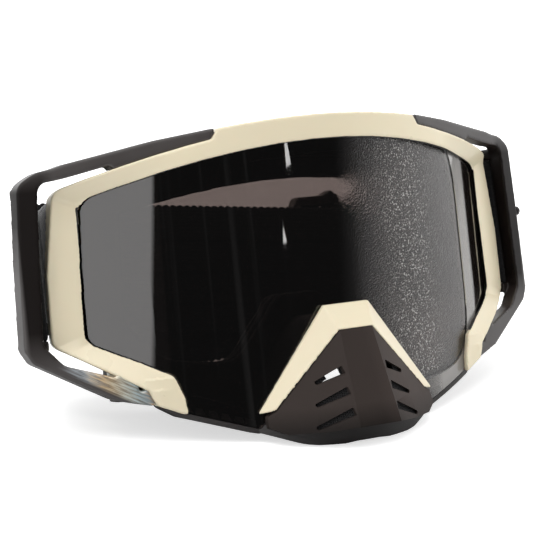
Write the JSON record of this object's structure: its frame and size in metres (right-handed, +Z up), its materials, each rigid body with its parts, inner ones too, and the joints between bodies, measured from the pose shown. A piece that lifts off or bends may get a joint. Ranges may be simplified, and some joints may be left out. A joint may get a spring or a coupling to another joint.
{
  "type": "motorcycle goggles",
  "caption": "Off-road riding goggles with a wrapped smoke lens, a pale bezel, an angular nose guard, strap outriggers, layered face foam and a folded elastic strap.",
  "frame": {"origin": "middle of the footprint, on the surface that the goggles stand on", "axes": "+X across the goggles towards the wearer's left, +Y from the lens towards the face, +Z up"},
  "size_m": [0.1942, 0.116, 0.1011],
  "materials": {
    "frame_rubber": "soft matte moulded, fine grain",
    "bezel_cream": "smooth satin gloss",
    "smoke_lens": "polished smoke tint",
    "gasket_black": "matte",
    "outrigger_black": "satin moulded",
    "screw_steel": "blackened",
    "guard_brown": "fine moulded grain",
    "foam_dark": "open cell foam",
    "foam_grey": "open cell foam",
    "fleece_black": "brushed fleece",
    "pin_steel": "drawn wire",
    "stud_black": "satin",
    "strap_webbing": "woven elastic",
    "bead_silicone": "glossy silicone",
    "adjuster_black": "satin moulded"
  },
  "bodies": {
    "goggles": {"main_frame": "frame_rubber", "front_bezel": "bezel_cream", "lens": "smoke_lens", "lens_gasket": "gasket_black", "left_outrigger": "outrigger_black", "right_outrigger": "outrigger_black", "outrigger_screws": "screw_steel", "foam_base": "foam_dark", "foam_middle": "foam_grey", "fleece_lining": "fleece_black", "top_vent_foam": "foam_dark", "left_vent_foam": "foam_dark", "right_vent_foam": "foam_dark", "left_strap_pin": "pin_steel", "right_strap_pin": "pin_steel", "strap_stud": "stud_black", "strap": "strap_webbing", "grip_beads": "bead_silicone"},
    "nose_guard": {"nose_guard": "guard_brown", "nose_trim": "bezel_cream"},
    "strap_adjuster": {"strap_adjuster": "adjuster_black"}
  },
  "joints": [
    {"name": "nose_guard_slide", "type": "slide", "parent": "goggles", "child": "nose_guard", "axis": [0, -0.9744, 0.225], "range_m": [0, 0.02]},
    {"name": "strap_adjuster_slide", "type": "slide", "parent": "goggles", "child": "strap_adjuster", "axis": [0.9959, 0.0203, 0.0877], "range_m": [-0.03, 0.005]}
  ]
}
